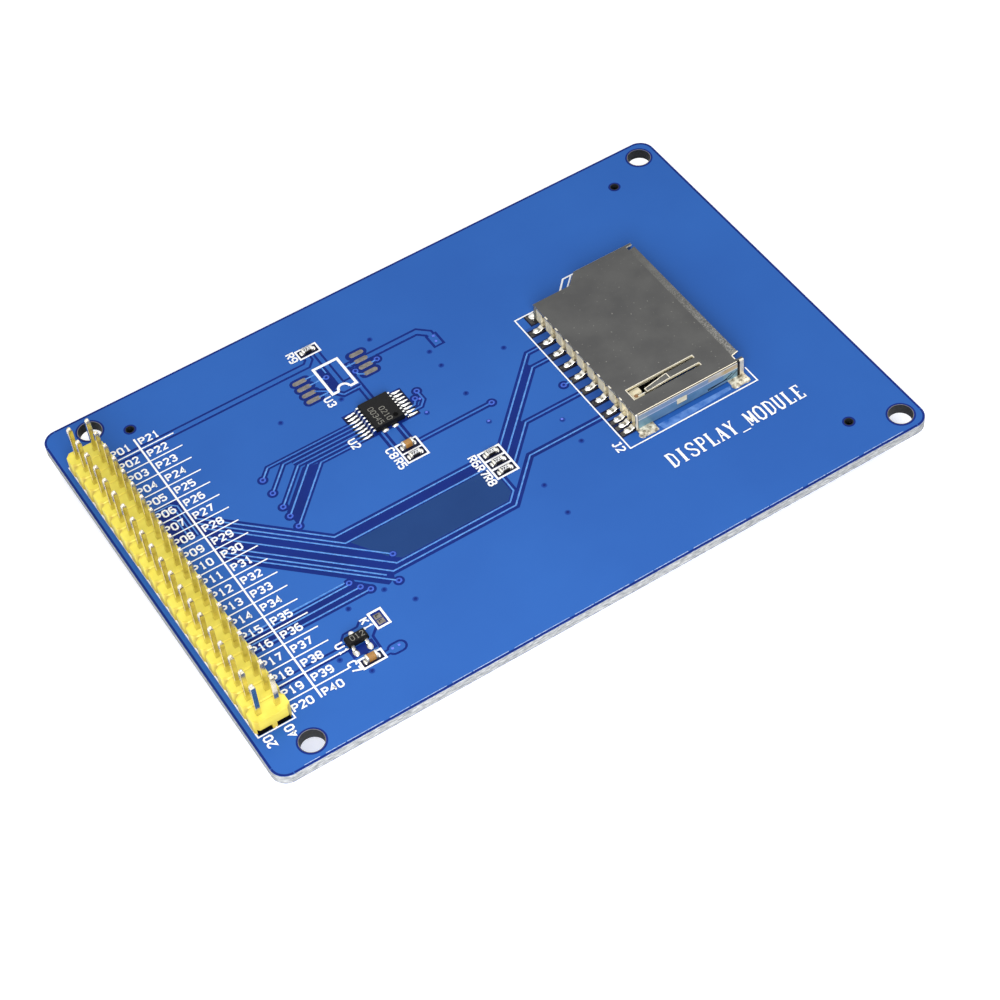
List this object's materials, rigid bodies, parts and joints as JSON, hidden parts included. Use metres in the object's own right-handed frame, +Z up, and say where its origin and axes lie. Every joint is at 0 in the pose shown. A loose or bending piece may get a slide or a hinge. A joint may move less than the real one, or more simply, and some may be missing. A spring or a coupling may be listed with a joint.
{
  "type": "touch display module",
  "caption": "Colour touch display on a blue circuit board with a yellow double-row pin header and a memory card socket.",
  "frame": {"origin": "middle of the board's outline, on the outer face of the touch film that the part rests on", "axes": "+Z up, out of the board's component side; +X along the long side from the pin header to the card socket's mouth; +Y along the short side from the first pins to the last"},
  "size_m": [0.0952, 0.0646, 0.0138],
  "materials": {
    "board": "glossy blue solder mask over glass laminate",
    "header_plastic": "yellow moulded plastic, satin",
    "pin_metal": "bright tin plating",
    "solder": "bright solder",
    "cover_steel": "satin plated sheet steel",
    "socket_plastic": "cream heat-resistant plastic",
    "contact_metal": "plated copper alloy",
    "slider_plastic": "white sliding plastic",
    "spring_steel": "bright spring wire",
    "package_black": "black moulding compound, fine grain",
    "leg_metal": "tinned",
    "resistor_ceramic": "black glaze over ceramic",
    "capacitor_ceramic": "tan ceramic",
    "cap_metal": "tinned end caps",
    "touch_film": "clear film over a dark display, glossy",
    "adhesive": "black adhesive tape",
    "foam": "dark foam tape",
    "clear_glass": "clear glass",
    "polariser": "smoke-grey polarising film",
    "flex_amber": "amber polyimide film",
    "frame_white": "white moulded frame",
    "sheet_white": "white optical sheet",
    "guide_clear": "clear moulded guide",
    "lamp": "white lamp with yellow phosphor",
    "silicon": "polished silicon"
  },
  "bodies": {
    "module": {"circuit_board": "board", "header_body": "header_plastic", "header_pins": "pin_metal", "header_solder": "solder", "touch_film": "touch_film", "touch_gasket": "adhesive", "touch_glass": "clear_glass", "touch_tape": "adhesive", "touch_flex": "flex_amber", "front_polariser": "polariser", "lcd_front_glass": "clear_glass", "lcd_rear_glass": "clear_glass", "driver_chip": "silicon", "display_flex": "flex_amber", "rear_polariser": "polariser", "prism_sheet": "sheet_white", "diffuser_sheet": "sheet_white", "light_guide": "guide_clear", "reflector_sheet": "sheet_white", "backlight_leds": "lamp", "led_strip": "flex_amber", "backlight_frame": "frame_white", "foam_tape": "foam", "card_socket_cover": "cover_steel", "card_socket_base": "socket_plastic", "card_contacts": "contact_metal", "switch_contacts": "contact_metal", "slider_spring": "spring_steel", "cam_wire": "spring_steel", "touch_chip_body": "package_black", "touch_chip_legs": "leg_metal", "regulator_body": "package_black", "regulator_legs": "leg_metal", "resistor_bodies": "resistor_ceramic", "resistor_caps": "cap_metal", "capacitor_bodies": "capacitor_ceramic", "capacitor_caps": "cap_metal"},
    "slider": {"card_slider": "slider_plastic"}
  },
  "joints": [
    {"name": "card_slider_push", "type": "slide", "parent": "module", "child": "slider", "axis": [-1, 0, 0], "range_m": [0, 0.0038], "stiffness_N_per_m": 200, "deforming": ["slider_spring"]}
  ]
}
